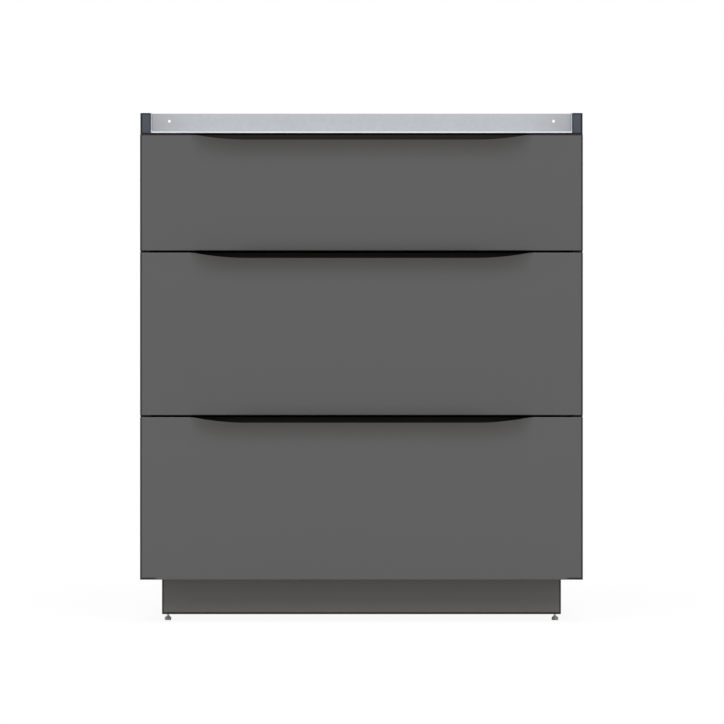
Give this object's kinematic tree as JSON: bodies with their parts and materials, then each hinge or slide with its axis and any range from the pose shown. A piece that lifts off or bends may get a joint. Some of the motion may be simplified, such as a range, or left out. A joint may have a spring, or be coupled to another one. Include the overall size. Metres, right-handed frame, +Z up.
{
  "type": "base cabinet with drawers",
  "caption": "Kitchen base cabinet: drawers on telescopic runners, with flared finger lips on their fronts, on a recessed plinth with levelling feet.",
  "frame": {"origin": "on the floor, under the middle of the cabinet's outer box", "axes": "+Z up, +Y towards the wall, -Y the way the drawers open, +X to the right seen from the front"},
  "size_m": [0.762, 0.624, 0.8784],
  "materials": {
    "front_foil": "matt dark grey foil on board",
    "body_melamine": "matt slate melamine on chipboard",
    "back_board": "matt slate hardboard",
    "plinth_foil": "matt dark grey foil on board",
    "softwood": "planed softwood",
    "galvanised_steel": "zinc coated, satin",
    "zinc_steel": "bright zinc",
    "drawer_board": "grey melamine on board",
    "drawer_base": "grey melamine on hardboard",
    "beech": "fluted dowel, bare wood",
    "cast_zinc": "die cast, as cast",
    "bumper_rubber": "clear grey soft plastic",
    "foot_nylon": "moulded grey nylon",
    "stud_steel": "zinc coated",
    "screw_steel": "zinc coated"
  },
  "bodies": {
    "carcass": {"back_panel": "back_board", "back_panel_screws": "screw_steel", "bottom_panel": "body_melamine", "cabinet_runner_screws": "screw_steel", "cabinet_runners_bottom": "zinc_steel", "cabinet_runners_middle": "zinc_steel", "cabinet_runners_top": "zinc_steel", "cam_bolts": "screw_steel", "cam_locks": "cast_zinc", "foot_inserts": "screw_steel", "front_rail_screws": "screw_steel", "front_top_rail": "galvanised_steel", "panel_dowels": "beech", "plinth_back": "plinth_foil", "plinth_corner_blocks": "softwood", "plinth_front": "plinth_foil", "plinth_left": "plinth_foil", "plinth_right": "plinth_foil", "plinth_screws": "screw_steel", "rear_top_rail": "body_melamine", "side_panel_left": "body_melamine", "side_panel_right": "body_melamine"},
    "intermediate_top": {"intermediate_runners_top": "zinc_steel"},
    "drawer_top": {"drawer_bottom_top": "drawer_base", "drawer_box_back_top": "drawer_board", "drawer_box_front_top": "drawer_board", "drawer_front_top": "front_foil", "drawer_runners_top": "zinc_steel", "drawer_screws_top": "screw_steel", "drawer_side_left_top": "drawer_board", "drawer_side_right_top": "drawer_board", "front_bumpers_top": "bumper_rubber"},
    "intermediate_middle": {"intermediate_runners_middle": "zinc_steel"},
    "drawer_middle": {"drawer_bottom_middle": "drawer_base", "drawer_box_back_middle": "drawer_board", "drawer_box_front_middle": "drawer_board", "drawer_front_middle": "front_foil", "drawer_runners_middle": "zinc_steel", "drawer_screws_middle": "screw_steel", "drawer_side_left_middle": "drawer_board", "drawer_side_right_middle": "drawer_board", "front_bumpers_middle": "bumper_rubber"},
    "intermediate_bottom": {"intermediate_runners_bottom": "zinc_steel"},
    "drawer_bottom": {"drawer_bottom_bottom": "drawer_base", "drawer_box_back_bottom": "drawer_board", "drawer_box_front_bottom": "drawer_board", "drawer_front_bottom": "front_foil", "drawer_runners_bottom": "zinc_steel", "drawer_screws_bottom": "screw_steel", "drawer_side_left_bottom": "drawer_board", "drawer_side_right_bottom": "drawer_board", "front_bumpers_bottom": "bumper_rubber"},
    "pad_front_left": {"foot_pad_front_left": "foot_nylon"},
    "stud_front_left": {"foot_stud_front_left": "stud_steel"},
    "pad_front_right": {"foot_pad_front_right": "foot_nylon"},
    "stud_front_right": {"foot_stud_front_right": "stud_steel"},
    "pad_rear_left": {"foot_pad_rear_left": "foot_nylon"},
    "stud_rear_left": {"foot_stud_rear_left": "stud_steel"},
    "pad_rear_right": {"foot_pad_rear_right": "foot_nylon"},
    "stud_rear_right": {"foot_stud_rear_right": "stud_steel"}
  },
  "joints": [
    {"name": "drawer_top_slide", "type": "slide", "parent": "carcass", "child": "drawer_top", "axis": [0, -1, 0], "range_m": [0, 0.5]},
    {"name": "intermediate_top_slide", "type": "slide", "parent": "carcass", "child": "intermediate_top", "axis": [0, -1, 0], "range_m": [0, 0.25]},
    {"name": "drawer_middle_slide", "type": "slide", "parent": "carcass", "child": "drawer_middle", "axis": [0, -1, 0], "range_m": [0, 0.5]},
    {"name": "intermediate_middle_slide", "type": "slide", "parent": "carcass", "child": "intermediate_middle", "axis": [0, -1, 0], "range_m": [0, 0.25]},
    {"name": "drawer_bottom_slide", "type": "slide", "parent": "carcass", "child": "drawer_bottom", "axis": [0, -1, 0], "range_m": [0, 0.5]},
    {"name": "intermediate_bottom_slide", "type": "slide", "parent": "carcass", "child": "intermediate_bottom", "axis": [0, -1, 0], "range_m": [0, 0.25]},
    {"name": "foot_front_left_level", "type": "slide", "parent": "carcass", "child": "pad_front_left", "axis": [0, 0, -1], "range_m": [-0.003, 0.01]},
    {"name": "foot_front_left_turn", "type": "hinge", "parent": "pad_front_left", "child": "stud_front_left", "pos_m": [-0.337, -0.205, 0.0066], "axis": [0, 0, -1], "range_deg": [-1350.5, 4500.5]},
    {"name": "foot_front_right_level", "type": "slide", "parent": "carcass", "child": "pad_front_right", "axis": [0, 0, -1], "range_m": [-0.003, 0.01]},
    {"name": "foot_front_right_turn", "type": "hinge", "parent": "pad_front_right", "child": "stud_front_right", "pos_m": [0.337, -0.205, 0.0066], "axis": [0, 0, -1], "range_deg": [-1350.5, 4500.5]},
    {"name": "foot_rear_left_level", "type": "slide", "parent": "carcass", "child": "pad_rear_left", "axis": [0, 0, -1], "range_m": [-0.003, 0.01]},
    {"name": "foot_rear_left_turn", "type": "hinge", "parent": "pad_rear_left", "child": "stud_rear_left", "pos_m": [-0.337, 0.244, 0.0066], "axis": [0, 0, -1], "range_deg": [-1350.5, 4500.5]},
    {"name": "foot_rear_right_level", "type": "slide", "parent": "carcass", "child": "pad_rear_right", "axis": [0, 0, -1], "range_m": [-0.003, 0.01]},
    {"name": "foot_rear_right_turn", "type": "hinge", "parent": "pad_rear_right", "child": "stud_rear_right", "pos_m": [0.337, 0.244, 0.0066], "axis": [0, 0, -1], "range_deg": [-1350.5, 4500.5]}
  ],
  "couplings": [
    {"joint": "intermediate_top_slide", "follows": "drawer_top_slide", "ratio": 0.5},
    {"joint": "intermediate_middle_slide", "follows": "drawer_middle_slide", "ratio": 0.5},
    {"joint": "intermediate_bottom_slide", "follows": "drawer_bottom_slide", "ratio": 0.5},
    {"joint": "foot_front_left_turn", "follows": "foot_front_left_level", "rad_per_m": 7854},
    {"joint": "foot_front_right_turn", "follows": "foot_front_right_level", "rad_per_m": 7854},
    {"joint": "foot_rear_left_turn", "follows": "foot_rear_left_level", "rad_per_m": 7854},
    {"joint": "foot_rear_right_turn", "follows": "foot_rear_right_level", "rad_per_m": 7854}
  ]
}
